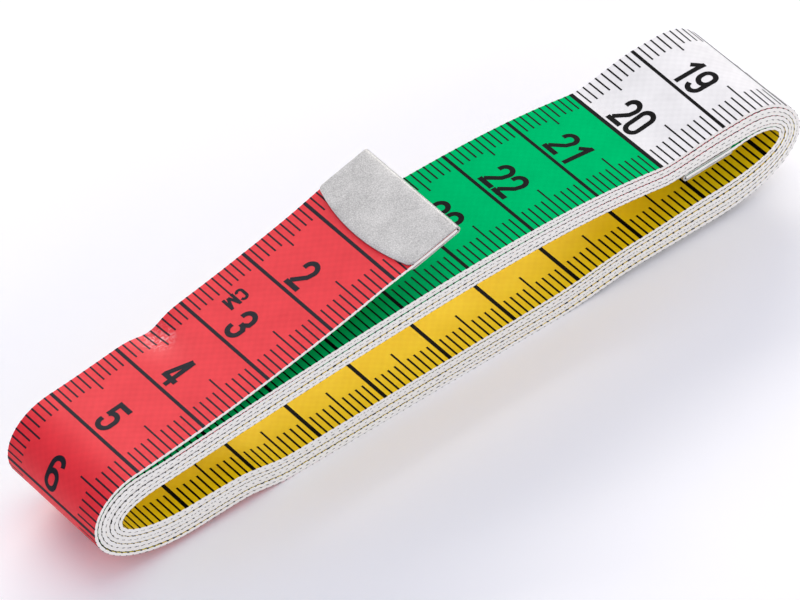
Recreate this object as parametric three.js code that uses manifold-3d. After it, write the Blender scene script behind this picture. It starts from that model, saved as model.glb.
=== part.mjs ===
// Cloth tape measure: a coated woven tape with a folded metal tip on each end, wound into a long low
// loop that lies on its flat underside. Millimetres, +Z up, X along the loop, Y across the tape.
// The origin is under the middle of the loop, on the table.
import * as THREE from 'three';
import { mergeVertices } from 'three/addons/utils/BufferGeometryUtils.js';
import Module from 'manifold-3d';

const wasm = await Module();
wasm.setup();

// Tape
const TAPE_WIDTH = 19;
const TAPE_THICKNESS = 0.25;

// Winding: each turn runs left bend, bottom run, right bend, top run, and lies inside the turn before it
const TURNS = 7;
const TURN_GAP = 0.42;
const LOOP_LENGTH = 109;
const LEFT_INNER_RADIUS = 2.2;
const RIGHT_INNER_RADIUS = 1.4;
const LEFT_BEND_LIFT = 1.6;
const RIGHT_BEND_LIFT = 2.0;
const FLAT_RUN_START_X = -25.8;
const FLAT_RUN_END_X = 14.2;
const CROWN_X = 5;
const CROWN_RISE = 1.9;
const CREASE_X = 33.2;
const CREASE_DROP = 0.45;

// Outer free end, which stands off the winding: a rising curve, hinged where the tape gives most
const LEAD_REACH = 50.6;
const LEAD_RISE = 8.9;
const LEAD_START_SLOPE = 0.07;
const LEAD_STRAIGHT_REACH = 10.8;
const END_HINGE_DISTANCE = 16;
const MIDDLE_HINGE_DISTANCE = 32;
const ROOT_HINGE_DISTANCE = 48;
const HINGE_GAP = 0.4;

// Inner free end, inside the loop past the last right bend
const INNER_LEAD_LENGTH = 11.2;
const INNER_HINGE_SETBACK = 0.3;

// Folded metal tips
const TIP_SHEET = 0.35;
const TIP_SIDE_LENGTH = 7.95;
const TIP_MIDDLE_LENGTH = 9.45;
const TIP_SIDE_OVERHANG = 0.3;
const CRIMP_CLEARANCE = 0.15;
const TIP_TO_TURN_CLEARANCE = 0.3;

// Facets
const BEND_STEPS = 12;
const CROWN_LEFT_STEPS = 5;
const CROWN_RIGHT_STEPS = 4;
const LEAD_STEPS = 8;
const FOLD_STEPS = 8;
const TIP_FRONT_STEPS = 14;

// Sizes that follow from the ones above
const pitch = TAPE_THICKNESS + TURN_GAP;
const halfTape = TAPE_THICKNESS / 2;
const tipSlot = TAPE_THICKNESS + 2 * CRIMP_CLEARANCE;
const tipHeight = tipSlot + 2 * TIP_SHEET;
const innerLeadDrop = tipHeight / 2 + TIP_TO_TURN_CLEARANCE - halfTape - TURN_GAP;
const leftRadius = LEFT_INNER_RADIUS + (TURNS - 0.5) * pitch;
const rightRadius = RIGHT_INNER_RADIUS + innerLeadDrop + TURNS * pitch;
const leftBend = {
  x: -LOOP_LENGTH / 2 + leftRadius - pitch / 4 + halfTape,
  z: LEFT_BEND_LIFT + halfTape + leftRadius - pitch / 2,
};
const rightBend = {
  x: LOOP_LENGTH / 2 - rightRadius + 0.75 * pitch - halfTape,
  z: RIGHT_BEND_LIFT + halfTape + rightRadius - pitch / 2,
};

// Height of the tape's middle surface on a top run that lies depth inside the outermost turn
function topRunHeight(x, depth) {
  const leftTop = leftBend.z + leftRadius;
  const rightTop = rightBend.z + rightRadius;
  const chord = THREE.MathUtils.mapLinear(x, leftBend.x, rightBend.x, leftTop, rightTop);
  let rise;
  if (x < CROWN_X) {
    const share = (x - leftBend.x) / (CROWN_X - leftBend.x);
    rise = CROWN_RISE * Math.sin((share * Math.PI) / 2);
  } else if (x < CREASE_X) {
    const share = (x - CROWN_X) / (CREASE_X - CROWN_X);
    rise = CROWN_RISE - (CROWN_RISE + CREASE_DROP) * (1 - Math.cos((share * Math.PI) / 2));
  } else {
    rise = THREE.MathUtils.mapLinear(x, CREASE_X, rightBend.x, -CREASE_DROP, 0);
  }
  return chord + rise - depth;
}

function bendPoints(centre, startAngle, startRadius, endRadius) {
  const points = [];
  for (let i = 0; i <= BEND_STEPS; i += 1) {
    const angle = startAngle + (Math.PI * i) / BEND_STEPS;
    const radius = THREE.MathUtils.lerp(startRadius, endRadius, i / BEND_STEPS);
    points.push(new THREE.Vector2(centre.x + radius * Math.cos(angle), centre.z + radius * Math.sin(angle)));
  }
  return points;
}

function bottomRunPoints(turn) {
  const level = halfTape + turn * pitch;
  return [new THREE.Vector2(FLAT_RUN_START_X, level), new THREE.Vector2(FLAT_RUN_END_X, level)];
}

function topRunPoints(depth) {
  const stations = [CREASE_X];
  for (let i = CROWN_RIGHT_STEPS - 1; i >= 0; i -= 1) {
    stations.push(THREE.MathUtils.lerp(CROWN_X, CREASE_X, i / CROWN_RIGHT_STEPS));
  }
  for (let i = 1; i < CROWN_LEFT_STEPS; i += 1) {
    stations.push(THREE.MathUtils.lerp(CROWN_X, leftBend.x, i / CROWN_LEFT_STEPS));
  }
  return stations.map((x) => new THREE.Vector2(x, topRunHeight(x, depth)));
}

// Middle line of the outer free end, from its tip back to the top of the left bend
function leadPoints() {
  const reaches = [LEAD_REACH];
  for (let i = 0; i < LEAD_STEPS; i += 1) {
    reaches.push((LEAD_REACH - LEAD_STRAIGHT_REACH) * (1 - i / LEAD_STEPS));
  }
  const root = leftBend.z + leftRadius;
  const curvedRise = LEAD_RISE - LEAD_START_SLOPE * LEAD_REACH;
  return reaches.map((reach) => {
    const height = root + LEAD_START_SLOPE * reach + curvedRise * (reach / LEAD_REACH) ** 2;
    return new THREE.Vector2(leftBend.x + reach, height);
  });
}

// Middle line of the whole tape in the XZ plane, from the outer end to the inner end
function tapePath() {
  const points = leadPoints();
  for (let turn = 0; turn < TURNS; turn += 1) {
    const last = turn === TURNS - 1;
    const leftStart = leftRadius - turn * pitch;
    points.push(...bendPoints(leftBend, Math.PI / 2, leftStart, leftStart - pitch / 2));
    points.push(...bottomRunPoints(turn));
    const rightStart = rightRadius - (turn + 0.5) * pitch;
    const rightEnd = rightStart - pitch / 2 - (last ? innerLeadDrop : 0);
    points.push(...bendPoints(rightBend, -Math.PI / 2, rightStart, rightEnd));
    if (!last) {
      points.push(...topRunPoints((turn + 1) * pitch));
    }
  }
  const innerEndX = rightBend.x - INNER_LEAD_LENGTH;
  points.push(new THREE.Vector2(innerEndX, topRunHeight(innerEndX, TURNS * pitch + innerLeadDrop)));
  return points;
}

function runningLengths(path) {
  const lengths = [0];
  for (let i = 1; i < path.length; i += 1) {
    lengths.push(lengths[i - 1] + path[i].distanceTo(path[i - 1]));
  }
  return lengths;
}

function pointAt(path, lengths, station) {
  const i = Math.max(1, lengths.findIndex((length) => length >= station));
  const share = (station - lengths[i - 1]) / (lengths[i] - lengths[i - 1]);
  return path[i - 1].clone().lerp(path[i], share);
}

function stretch(path, lengths, from, to) {
  const inner = path.filter((point, i) => lengths[i] > from && lengths[i] < to);
  return [pointAt(path, lengths, from), ...inner, pointAt(path, lengths, to)];
}

// Least distance between the faces of two turns, on points along the middle line
function leastGap(points) {
  const lengths = runningLengths(points);
  const nearby = 4 * leftRadius;
  const closest = new THREE.Vector2();
  let least = Infinity;
  for (let i = 0; i < points.length; i += 1) {
    for (let k = 1; k < points.length; k += 1) {
      const apart = Math.min(Math.abs(lengths[k] - lengths[i]), Math.abs(lengths[k - 1] - lengths[i]));
      if (apart < nearby) continue;
      const along = points[k].clone().sub(points[k - 1]);
      const share = points[i].clone().sub(points[k - 1]).dot(along) / along.lengthSq();
      closest.lerpVectors(points[k - 1], points[k], THREE.MathUtils.clamp(share, 0, 1));
      least = Math.min(least, closest.distanceTo(points[i]) - TAPE_THICKNESS);
    }
  }
  return least;
}

// Mitred offset of a middle line to one face of the tape
function offsetLine(points, distance) {
  return points.map((point, i) => {
    const before = point.clone().sub(points[Math.max(0, i - 1)]).normalize();
    const after = points[Math.min(points.length - 1, i + 1)].clone().sub(point).normalize();
    const along = before.clone().add(after).normalize();
    const reference = before.lengthSq() > 0 ? before : after;
    const reach = distance / along.dot(reference);
    return new THREE.Vector2(point.x - along.y * reach, point.y + along.x * reach);
  });
}

// A stretch of tape as a closed solid of rectangular section
function stripGeometry(points) {
  const leftFace = offsetLine(points, halfTape);
  const rightFace = offsetLine(points, -halfTape);
  const near = -TAPE_WIDTH / 2;
  const far = TAPE_WIDTH / 2;
  const positions = [];
  points.forEach((point, i) => {
    positions.push(leftFace[i].x, near, leftFace[i].y, leftFace[i].x, far, leftFace[i].y);
    positions.push(rightFace[i].x, far, rightFace[i].y, rightFace[i].x, near, rightFace[i].y);
  });
  const corners = 4;
  const index = [0, 1, 2, 0, 2, 3];
  for (let i = 0; i < points.length - 1; i += 1) {
    const here = i * corners;
    const next = here + corners;
    for (let side = 0; side < corners; side += 1) {
      const other = (side + 1) % corners;
      index.push(here + side, next + side, next + other, here + side, next + other, here + other);
    }
  }
  const end = (points.length - 1) * corners;
  index.push(end, end + 2, end + 1, end, end + 3, end + 2);
  const geometry = new THREE.BufferGeometry();
  geometry.setAttribute('position', new THREE.Float32BufferAttribute(positions, 3));
  geometry.setIndex(index);
  geometry.computeVertexNormals();
  return geometry;
}

function toManifold(geometry) {
  const bare = geometry.clone();
  bare.deleteAttribute('normal');
  bare.deleteAttribute('uv');
  const merged = mergeVertices(bare);
  const vertProperties = new Float32Array(merged.attributes.position.array);
  const triVerts = new Uint32Array(merged.index.array);
  return new wasm.Manifold(new wasm.Mesh({ numProp: 3, vertProperties, triVerts }));
}

function toGeometry(manifold) {
  const mesh = manifold.getMesh();
  const geometry = new THREE.BufferGeometry();
  geometry.setAttribute('position', new THREE.Float32BufferAttribute(mesh.vertProperties, 3));
  geometry.setIndex(Array.from(mesh.triVerts));
  geometry.computeVertexNormals();
  return geometry;
}

// Folded tip: a sheet bent back on itself round the tape's end, its fold at the local origin and its
// two leaves along -X, with a bowed front edge
function tipGeometry() {
  const width = TAPE_WIDTH + 2 * TIP_SIDE_OVERHANG;
  const outside = tipHeight / 2;
  const inside = tipSlot / 2;
  const side = new THREE.Shape();
  side.moveTo(-TIP_MIDDLE_LENGTH, -outside);
  side.lineTo(-outside, -outside);
  side.absarc(-outside, 0, outside, -Math.PI / 2, Math.PI / 2, false);
  side.lineTo(-TIP_MIDDLE_LENGTH, outside);
  side.lineTo(-TIP_MIDDLE_LENGTH, inside);
  side.lineTo(-outside, inside);
  side.absarc(-outside, 0, inside, Math.PI / 2, -Math.PI / 2, true);
  side.lineTo(-TIP_MIDDLE_LENGTH, -inside);
  side.closePath();
  const folded = new THREE.ExtrudeGeometry(side, {
    depth: width,
    bevelEnabled: false,
    curveSegments: FOLD_STEPS,
  });
  folded.translate(0, 0, -width / 2);
  folded.rotateX(Math.PI / 2);

  const bow = TIP_MIDDLE_LENGTH - TIP_SIDE_LENGTH;
  const bowRadius = (width * width / 4 + bow * bow) / (2 * bow);
  const bowAngle = Math.asin(width / 2 / bowRadius);
  const plan = new THREE.Shape();
  plan.moveTo(outside, -width / 2);
  plan.lineTo(outside, width / 2);
  plan.lineTo(-TIP_SIDE_LENGTH, width / 2);
  plan.absarc(bowRadius - TIP_MIDDLE_LENGTH, 0, bowRadius, Math.PI - bowAngle, Math.PI + bowAngle, false);
  plan.closePath();
  const outline = new THREE.ExtrudeGeometry(plan, {
    depth: 2 * tipHeight,
    bevelEnabled: false,
    curveSegments: TIP_FRONT_STEPS,
  });
  outline.translate(0, 0, -tipHeight);
  return toGeometry(toManifold(folded).intersect(toManifold(outline)));
}

function finish(color, roughness, metalness) {
  return new THREE.MeshStandardMaterial({ color, roughness, metalness });
}

function namedMesh(name, geometry, material) {
  const mesh = new THREE.Mesh(geometry, material);
  mesh.name = name;
  return mesh;
}

// A tip whose fold closes over the end of the tape at end, where the tape arrives from inside
function placedTip(name, end, inside, material) {
  const outward = end.clone().sub(inside).normalize();
  const mesh = namedMesh(name, tipGeometry(), material);
  const fold = end.clone().addScaledVector(outward, CRIMP_CLEARANCE + TIP_SHEET);
  mesh.position.set(fold.x, 0, fold.y);
  mesh.rotation.y = -Math.atan2(outward.y, outward.x);
  return mesh;
}

const redCoat = finish(0xe5304a, 0.45, 0);
const yellowCoat = finish(0xf0be0a, 0.45, 0);
const nickel = finish(0xc9cbcc, 0.35, 1);

const path = tapePath();
const lengths = runningLengths(path);
const tapeLength = lengths[lengths.length - 1];
const innerHinge = tapeLength - INNER_LEAD_LENGTH + INNER_HINGE_SETBACK;
const hinges = [END_HINGE_DISTANCE, MIDDLE_HINGE_DISTANCE, ROOT_HINGE_DISTANCE, innerHinge];

// The tape is cut at its hinges, with a gap at each
const pieceStarts = [0, ...hinges.map((station) => station + HINGE_GAP / 2)];
const pieceEnds = [...hinges.map((station) => station - HINGE_GAP / 2), tapeLength];
const pieces = [
  ['tape_lead_end', redCoat],
  ['tape_lead_mid', redCoat],
  ['tape_lead_root', redCoat],
  ['tape_coil', yellowCoat],
  ['tape_inner_lead', yellowCoat],
];

const tapeMeasure = new THREE.Group();
pieces.forEach(([name, material], i) => {
  const middleLine = stretch(path, lengths, pieceStarts[i], pieceEnds[i]);
  tapeMeasure.add(namedMesh(name, stripGeometry(middleLine), material));
});
tapeMeasure.add(placedTip('outer_tip', path[0], path[1], nickel));
tapeMeasure.add(placedTip('inner_tip', path[path.length - 1], path[path.length - 2], nickel));

const coil = stretch(path, lengths, ROOT_HINGE_DISTANCE, innerHinge);
console.log(`tape length ${tapeLength.toFixed(1)} mm`);
console.log(`least gap between turns ${leastGap(coil).toFixed(3)} mm`);
for (const station of hinges) {
  const hinge = pointAt(path, lengths, station);
  console.log(`hinge ${station.toFixed(1)} mm along the tape: x ${hinge.x.toFixed(3)}, z ${hinge.y.toFixed(3)}`);
}

export default tapeMeasure;
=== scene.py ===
"""Cloth tape measure: coated tape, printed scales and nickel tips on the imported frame, in a pale studio."""

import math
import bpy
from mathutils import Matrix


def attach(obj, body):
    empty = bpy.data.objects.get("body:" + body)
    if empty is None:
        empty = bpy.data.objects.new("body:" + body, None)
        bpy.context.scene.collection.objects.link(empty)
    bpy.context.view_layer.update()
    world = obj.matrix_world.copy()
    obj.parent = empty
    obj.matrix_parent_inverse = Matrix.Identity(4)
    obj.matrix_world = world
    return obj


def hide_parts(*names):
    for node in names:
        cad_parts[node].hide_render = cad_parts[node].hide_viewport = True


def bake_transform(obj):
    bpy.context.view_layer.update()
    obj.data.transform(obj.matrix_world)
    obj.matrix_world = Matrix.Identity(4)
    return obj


bl_info = {
    "name": "Cloth tape measure",
    "version": (1, 0, 0),
    "blender": (4, 5, 0),
    "location": "View3D > Sidebar > Tape measure",
    "description": "Winds a printed cloth tape with folded nickel tips round the packed tape measure",
    "category": "Object",
}

from functools import partial
from types import SimpleNamespace

import bpy
import numpy as np
from bpy.props import FloatProperty, FloatVectorProperty, IntProperty, PointerProperty
from mathutils import Matrix, Vector, kdtree

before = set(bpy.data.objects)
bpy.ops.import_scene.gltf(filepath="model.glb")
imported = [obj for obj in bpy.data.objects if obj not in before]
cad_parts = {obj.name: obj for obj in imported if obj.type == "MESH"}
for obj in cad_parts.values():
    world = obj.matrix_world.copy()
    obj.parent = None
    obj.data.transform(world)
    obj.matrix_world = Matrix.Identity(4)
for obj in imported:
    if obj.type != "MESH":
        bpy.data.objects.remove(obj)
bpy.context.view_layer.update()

# Named lengths are in millimetres, Blender's own in metres
MM = 0.001

# Coloured zones of the front face, and material slots of the back and the cut edges
ZONE_LENGTH = 100.0
ZONES = 4
YELLOW_SLOT = 3
EDGE_SLOT = 4

# Where the stretches of tape meet: from its outer end, and the last one from its inner end
SEAM_END = 22.5
SEAM_MID = 40.5
SEAM_ROOT = 73.5
INNER_SEAM_BACK = 24.0


def srgb(hex_code):
    """Turns an sRGB hex value to a linear colour with full alpha."""
    parts = [int(hex_code[i : i + 2], 16) / 255 for i in (0, 2, 4)]
    flat = [c / 12.92 if c <= 0.04045 else ((c + 0.055) / 1.055) ** 2.4 for c in parts]
    return (*flat, 1.0)


def number_prop(name, description, default, **settings):
    """A number with its name, description and default."""
    return FloatProperty(name=name, description=description, default=default, **settings)


def length_prop(name, description, millimetres):
    """A length whose default is given in millimetres."""
    return number_prop(name, description, millimetres * MM, unit="LENGTH", precision=5)


def angle_prop(name, description, degrees):
    """An angle whose default is given in degrees."""
    return number_prop(name, description, math.radians(degrees), subtype="ANGLE")


def power_prop(name, description, watts):
    """A lamp's power in watts."""
    return number_prop(name, description, watts, unit="POWER")


def vector_prop(name, description, default, **settings):
    """A place, a size or a colour with its name, description and default."""
    return FloatVectorProperty(name=name, description=description, default=default, **settings)


def place_prop(name, description, millimetres):
    """A place whose default is given in millimetres."""
    default = [c * MM for c in millimetres]
    return vector_prop(name, description, default, subtype="XYZ", unit="LENGTH", precision=5)


def size_prop(name, description, millimetres):
    """A width and a height whose defaults are given in millimetres."""
    return vector_prop(name, description, [c * MM for c in millimetres], size=2, unit="LENGTH")


def colour_prop(name, description, hex_code):
    """A colour whose default is an sRGB hex value."""
    return vector_prop(name, description, srgb(hex_code), size=4, subtype="COLOR", min=0.0, max=1.0)


class TapeClothSettings(bpy.types.PropertyGroup):
    width: length_prop("Width", "Width of the tape", 19.0)
    thickness: length_prop("Thickness", "Thickness of the coated tape", 0.42)
    thread: length_prop("Thread spacing", "Distance between threads of the weave under the coat", 0.62)
    wander: length_prop("Wander", "How far the edges of the turns stray sideways", 0.08)
    bead: length_prop("Bead", "Most that a cut edge swells towards the next turn", 0.1)
    kink_depth: length_prop("Kink depth", "How deep the kinked far edge of the outer lead dips", 0.95)
    kink_place: length_prop("Kink place", "Distance of the kink from the outer end", 35.2)


class TapeLoopSettings(bpy.types.PropertyGroup):
    turns: IntProperty(name="Turns", description="Number of turns in the winding", default=7, min=3)
    left_end: length_prop("Left end", "X of the outside of the left bend", -54.25)
    right_end: length_prop("Right end", "X of the outside of the right bend", 54.2)
    middle_height: length_prop("Bend height", "Height at which the bends reach furthest out", 8.24)
    left_lead_x: length_prop("Lead bend X", "Where the outer lead meets its bend", -46.5)
    left_top_x: length_prop("Left top X", "Where the top runs meet the left bend", -43.2)
    left_fan: length_prop("Left fan", "How much further the outer turns run before the left bend", 3.4)
    left_low_x: length_prop("Left low X", "Where the bottom runs meet the left bend", -41.2)
    right_low_x: length_prop("Right low X", "Where the bottom runs meet the right bend", 40.2)
    right_top_x: length_prop("Right top X", "Where the top runs meet the right bend", 46.75)
    left_top: length_prop("Left top height", "Outer height of the top run at the left bend", 13.77)
    crown_x: length_prop("Crown X", "X of the top run's highest point", 4.2)
    crown: length_prop("Crown height", "Outer height of the top run's highest point", 16.08)
    crease_x: length_prop("Crease X", "X of the soft crease in the top run", 33.35)
    crease: length_prop("Crease height", "Outer height of the top run at the crease", 13.82)
    shoulder_x: length_prop("Shoulder X", "X of the top run's level stretch by the right bend", 43.2)
    shoulder: length_prop("Shoulder height", "Outer height of the level stretch by the right bend", 14.42)
    foot_left: length_prop("Left foot X", "Left end of the stretch that lies on the table", -25.9)
    foot_right: length_prop("Right foot X", "Right end of the stretch that lies on the table", 14.3)
    lift: length_prop("Lift", "How far the bottom run stands off the table beyond its feet", 1.0)
    low_pitch: length_prop("Bottom pitch", "Distance between turns in the middle of the bottom run", 0.545)
    low_end_pitch: length_prop("Bottom end pitch", "Distance between turns at the bottom run's ends", 0.62)
    top_pitch: length_prop("Top pitch", "Distance between turns in the top run", 0.565)
    top_right_pitch: length_prop("Top right pitch", "Distance between turns at the top run's right end", 0.65)
    left_pitch: length_prop("Left pitch", "Distance between turns in the left bend", 0.57)
    right_pitch: length_prop("Right pitch", "Distance between turns in the right bend", 0.435)
    lean: length_prop("Lean", "How much higher the far edge stands on top of the right bend", 0.7)


class TapeLeadSettings(bpy.types.PropertyGroup):
    outer_end_x: length_prop("Outer end X", "X of the tape's outer end, inside its tip", 2.55)
    lead_height: length_prop("Lead height", "Height of the outer lead's middle where it starts", 14.37)
    start_slope: number_prop("Start slope", "Rise of the outer lead where it starts", 0.0803)
    bow: number_prop("Bow", "Half of what the outer lead's slope gains in a millimetre", 0.0021)
    straight_from: length_prop("Straight from", "Distance along X after which the lead is straight", 38.45)
    end_slope: number_prop("End slope", "Rise of the straight end of the lead", 0.231)
    end_twist: length_prop("End twist", "How far the outer end's far edge is turned up", 0.3)
    inner_end_x: length_prop("Inner end X", "X of the tape's inner end, inside its tip", 36.4)
    inner_height: length_prop("Inner height", "Height of the inner lead's middle at its end", 10.04)
    inner_slope: number_prop("Inner slope", "Rise of the inner lead towards its bend", 0.018)
    inner_bend_x: length_prop("Inner bend X", "Where the inner lead meets the right bend", 46.75)
    inner_rise: length_prop("Inner rise", "How far the inner lead climbs to the turn above it", 0.24)


class TapePrintSettings(bpy.types.PropertyGroup):
    line: length_prop("Line width", "Width of a centimetre line", 0.47)
    border: length_prop("Border width", "Width of the line between two colours", 0.62)
    tick: length_prop("Tick width", "Width of a millimetre tick", 0.23)
    back_line: length_prop("Back line width", "Width of a centimetre line on the back", 0.54)
    back_tick: length_prop("Back tick width", "Width of a millimetre tick on the back", 0.28)
    back_start: length_prop("Back start", "How far the back scale starts past the tape's inner end", 0.75)
    far_tick: length_prop("Far tick", "Length of a tick on the far edge", 3.1)
    far_half: length_prop("Far half tick", "Length of a half-centimetre tick on the far edge", 4.3)
    near_tick: length_prop("Near tick", "Length of a tick on the near edge", 3.7)
    near_half: length_prop("Near half tick", "Length of a half-centimetre tick on the near edge", 5.8)
    bleed: length_prop("Bleed", "How far the ink of a tick runs over the cut edge", 0.045)
    digit_height: length_prop("Digit height", "Height of a numeral", 4.7)
    digit_width: length_prop("Digit width", "Width of a numeral", 2.6)
    digit_pitch: length_prop("Digit pitch", "Distance between two numerals", 2.8)
    stroke: length_prop("Stroke", "Thickness of a numeral's stroke", 0.72)
    rise: length_prop("Rise", "Gap between a numeral and the line it stands on", 0.65)
    offset: length_prop("Offset", "How far the print sits towards the far edge", 0.37)
    shrink: length_prop("Shrink", "How far the front scale has crept back by the third decimetre", 1.2)


class TapeTipSettings(bpy.types.PropertyGroup):
    sheet: length_prop("Sheet", "Thickness of the tip's metal", 0.25)
    height: length_prop("Height", "Height of the folded tip", 1.06)
    side_length: length_prop("Side length", "Length of the tip at its sides", 7.45)
    middle_length: length_prop("Middle length", "Length of the tip in its middle", 8.95)
    half_width: length_prop("Half width", "Half the width of the tip", 9.5)
    corner: length_prop("Corner", "Radius of the tip's two front corners", 0.6)
    reach: length_prop("Reach", "How far the fold stands past the tape's end", 0.5)


class TapeColourSettings(bpy.types.PropertyGroup):
    red: colour_prop("Red", "First decimetre of the front face", "EE1C2C")
    white: colour_prop("White", "Second decimetre of the front face", "ECEBE9")
    green: colour_prop("Green", "Third decimetre of the front face", "00BA6A")
    yellow: colour_prop("Yellow", "Fourth decimetre of the front face, and the whole back", "FFDA00")
    crazed: colour_prop("Crazed", "Red coating that was bent until it crazed", "F4C9CC")
    edge: colour_prop("Cut edge", "Core of the tape, seen on its cut edges", "E3E2DF")
    ink: colour_prop("Ink", "Printing ink", "050507")
    # Greyer, bluer ink for the outer lead: painted sheen from the light falling on the lead, standing in for
    # a satin glare on the ink
    handled_ink: colour_prop("Handled ink", "Printing ink on the outer lead, rubbed grey by hands", "0F121D")
    nickel: colour_prop("Nickel", "Plate on the metal tips", "C0C0BE")
    floor: colour_prop("Floor", "Table under the tape measure", "FFFFFF")
    lamps: colour_prop("Lamps", "Light of the three lamps", "FFF9F0")
    sky: colour_prop("Sky", "Even light from all round", "EBEDFF")


class TapeStageSettings(bpy.types.PropertyGroup):
    azimuth: angle_prop("Azimuth", "Camera's turn round the object", -29.32)
    elevation: angle_prop("Elevation", "Camera's angle above the table", 42.21)
    roll: angle_prop("Roll", "Camera's turn about its own line of sight", -9.87)
    distance: length_prop("Distance", "Camera's distance from its target", 1000.0)
    target: place_prop("Target", "Point that the camera looks at", (0.41, 3.57, 3.66))
    lens: number_prop("Lens", "Focal length in millimetres", 361.2)
    key_place: place_prop("Key light", "Place of the light overhead", (60.0, -60.0, 850.0))
    key_size: size_prop("Key size", "Width and depth of the light overhead", (500.0, 500.0))
    key_power: power_prop("Key power", "Power of the light overhead", 0.4)
    back_place: place_prop("Back light", "Place of the low light behind the loop", (350.0, 800.0, 423.0))
    back_size: size_prop("Back size", "Width and height of the back light", (900.0, 210.0))
    back_power: power_prop("Back power", "Power of the back light", 7.3)
    front_place: place_prop("Front light", "Place of the low light in front", (160.0, -850.0, 260.0))
    front_size: size_prop("Front size", "Width and height of the front light", (1500.0, 480.0))
    front_power: power_prop("Front power", "Power of the front light", 4.5)
    sky: number_prop("Sky", "Strength of the even light from above", 0.72)
    horizon: number_prop("Horizon", "Strength of the even light from the sides", 0.36)


def sizes_of(group):
    """A group's single numbers by name, with its lengths in millimetres."""
    sizes = SimpleNamespace()
    for key, prop in group.bl_rna.properties.items():
        if prop.type == "FLOAT":
            setattr(sizes, key, getattr(group, key) / (MM if prop.unit == "LENGTH" else 1))
    return sizes


# Points of the tape's middle line: their spacing, and how many neighbours round off its corners
LINE_STEP = 0.1
BEND_POINTS = 120
SOFT_REACH = 24
SOFT_SPREAD = 8.0
SAME_POINT = 1e-6


def ease(value, start, end):
    """Smooth step from 0 at start to 1 at end, level at both."""
    t = np.clip((value - start) / (end - start), 0.0, 1.0)
    return t * t * (3 - 2 * t)


def measured(points):
    """A line without its doubled points, and the distance along it to each point."""
    steps = np.hypot(*np.diff(points, axis=0).T)
    points = points[np.concatenate(([True], steps > SAME_POINT))]
    return points, np.concatenate(([0], np.cumsum(np.hypot(*np.diff(points, axis=0).T))))


def points_at(distances, points, along):
    """Points of a measured line at some distances along it."""
    return np.column_stack([np.interp(distances, along, column) for column in points.T])


def spaced(points):
    """A line with its points evenly spaced, and their distances along it."""
    points, along = measured(points)
    even = np.linspace(0, along[-1], int(along[-1] / LINE_STEP))
    return points_at(even, points, along), even


def softened(points):
    """An evenly spaced line with its corners rounded off, as stiff cloth rounds them."""
    weights = np.exp(-0.5 * (np.arange(-SOFT_REACH, SOFT_REACH + 1) / SOFT_SPREAD) ** 2)
    weights /= weights.sum()
    ahead = np.arange(1, SOFT_REACH + 1)[:, None]
    start = points[0] + (points[0] - points[1]) * ahead[::-1]
    end = points[-1] + (points[-1] - points[-2]) * ahead
    padded = np.concatenate((start, points, end))
    return np.column_stack([np.convolve(column, weights, "valid") for column in padded.T])


# How the runs leave the table, rise to the crown, fall to the crease and climb to the inner bend
LEFT_RAMP = 7.2
LEFT_SAG = 8.0
SAG_SHARE = 0.2
RIGHT_RAMP = 14.0
CROWN_POWER = 1.5
CREASE_POWER = 2.6
INNER_CLIMB = 3.4

# Forms that fade in along X, Z, the tape or its scale: nothing at the first place and all at the second
LOW_SPREAD_X = (28.0, 40.0)
TOP_SPREAD_X = (32.0, 46.0)
LEAN_X = (33.5, 43.5)
LEAN_Z = (11.0, 14.0)
TWIST_ALONG = (13.0, 4.0)
WANDER_ALONG = (60.0, 120.0)
SHRINK_MARKS = (60.0, 230.0)

# Where another turn covers each face: fading in from the outer end, and from the inner end
FRONT_COVERED = ((288.0, 296.0), (12.0, 20.0))
BACK_COVERED = ((70.0, 90.0), (232.0, 240.0))

# Swelling of the cut edges: length that parts two turns, points passed over, room left, share of the width
TURN_APART = 60.0
SWELL_EVERY = 10
SWELL_ROOM = 0.02
EDGE_SHARE = 0.95

# Kink in the far edge, with its start as a share of the half width, and the waves of the turns' edges
KINK_LENGTH = 2.4
KINK_FROM = 0.3
LONG_WAVE = 37.0
SHORT_WAVE = 14.3
SHORT_WAVE_SHARE = 0.6

# Cross-sections: spacing on the free ends and in the winding, most turn between two, room by a colour border
FREE_STEP = 0.35
WOUND_STEP = 1.4
TURN_STEP = math.radians(3.5)
BORDER_ROOM = 0.05


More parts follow.
